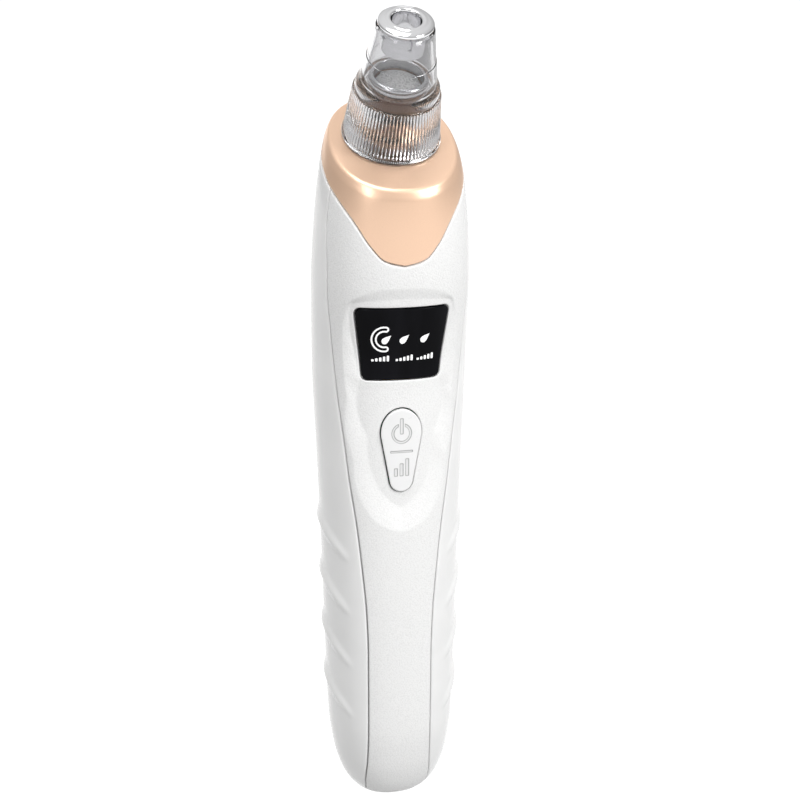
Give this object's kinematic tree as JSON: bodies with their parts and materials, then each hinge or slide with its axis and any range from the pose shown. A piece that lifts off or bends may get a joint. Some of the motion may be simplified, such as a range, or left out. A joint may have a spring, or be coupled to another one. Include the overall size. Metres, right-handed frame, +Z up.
{
  "type": "blackhead vacuum extractor",
  "caption": "Pen-shaped handheld pore vacuum with a forward-leaning clear suction tip, a metallic collar, a small display and a rocker button.",
  "frame": {"origin": "centre of the flat foot at the bottom end of the handle", "axes": "+Z up the handle, -Y towards the display and button (the front), +X to the viewer's right when facing the front"},
  "size_m": [0.0334, 0.0374, 0.1777],
  "materials": {
    "shell_white": "glossy moulded plastic",
    "panel_white": "fine leather-grain texture",
    "rose_gold": "satin metallic rose gold",
    "tip_clear": "clear moulded plastic, ribbed skirt",
    "tip_chrome": "polished",
    "nozzle_brown": "satin",
    "rim_metal": "satin",
    "o_ring": "matte",
    "sponge": "open foam",
    "display_black": "high gloss with printed icons",
    "black_plastic": "plain",
    "board_green": "solder mask",
    "led": "clear lens",
    "button_white": "satin with engraved symbols",
    "steel": "plain",
    "plunger": "plain",
    "frame_grey": "plain",
    "cell_sleeve": "shrink sleeve",
    "foam": "foam",
    "motor_steel": "zinc plated",
    "acetal": "plain",
    "pump_grey": "plain",
    "diaphragm": "plain",
    "silicone": "translucent",
    "ribbon": "flat flexible",
    "wire_red": "insulation"
  },
  "bodies": {
    "handle": {"rear_shell": "shell_white", "front_panel": "panel_white", "collar": "rose_gold", "suction_nozzle": "nozzle_brown", "rim_ring": "rim_metal", "o_ring_lower": "o_ring", "o_ring_upper": "o_ring", "filter_sponge": "sponge", "display_lens": "display_black", "light_mask": "black_plastic", "display_board": "board_green", "led_left": "led", "led_centre": "led", "led_right": "led", "button_pin": "steel", "power_switch": "black_plastic", "mode_switch": "black_plastic", "main_board": "board_green", "port_board": "board_green", "control_chip": "black_plastic", "charge_chip": "black_plastic", "coil": "black_plastic", "charging_port": "steel", "port_tongue": "black_plastic", "inner_frame": "frame_grey", "screw_low": "steel", "screw_middle": "steel", "screw_high_left": "steel", "screw_high_right": "steel", "board_screw_lower": "steel", "board_screw_upper": "steel", "battery_cell": "cell_sleeve", "battery_pad": "foam", "motor_pad": "foam", "motor_can": "motor_steel", "motor_end_cap": "black_plastic", "pump_housing": "pump_grey", "pump_cover": "pump_grey", "pump_diaphragm": "diaphragm", "valve_plate": "acetal", "suction_hose": "silicone", "outlet_hose": "silicone", "display_ribbon": "ribbon", "battery_wire_red": "wire_red", "battery_wire_black": "black_plastic", "motor_wire_red": "wire_red", "motor_wire_black": "black_plastic"},
    "tip": {"tip_body": "tip_clear", "tip_insert": "tip_chrome"},
    "rocker": {"button_cap": "button_white"},
    "power_key": {"power_plunger": "plunger"},
    "mode_key": {"mode_plunger": "plunger"},
    "rotor": {"motor_shaft": "steel", "eccentric_wheel": "acetal"}
  },
  "joints": [
    {"name": "tip_pull_off", "type": "slide", "parent": "handle", "child": "tip", "axis": [0, -0.5548, 0.832], "range_m": [0, 0.028]},
    {"name": "rocker_tilt", "type": "hinge", "parent": "handle", "child": "rocker", "pos_m": [0, -0.01141, 0.0879], "axis": [1, 0, 0], "range_deg": [-3, 3], "stiffness_Nm_per_rad": 0.02},
    {"name": "power_press", "type": "slide", "parent": "handle", "child": "power_key", "axis": [0, 1, 0], "range_m": [0, 0.00025], "stiffness_N_per_m": 3000},
    {"name": "mode_press", "type": "slide", "parent": "handle", "child": "mode_key", "axis": [0, 1, 0], "range_m": [0, 0.00025], "stiffness_N_per_m": 3000},
    {"name": "motor_spin", "type": "hinge", "parent": "handle", "child": "rotor", "pos_m": [0, 0.00319, 0.0967], "axis": [0, 0, 1], "continuous": true}
  ]
}
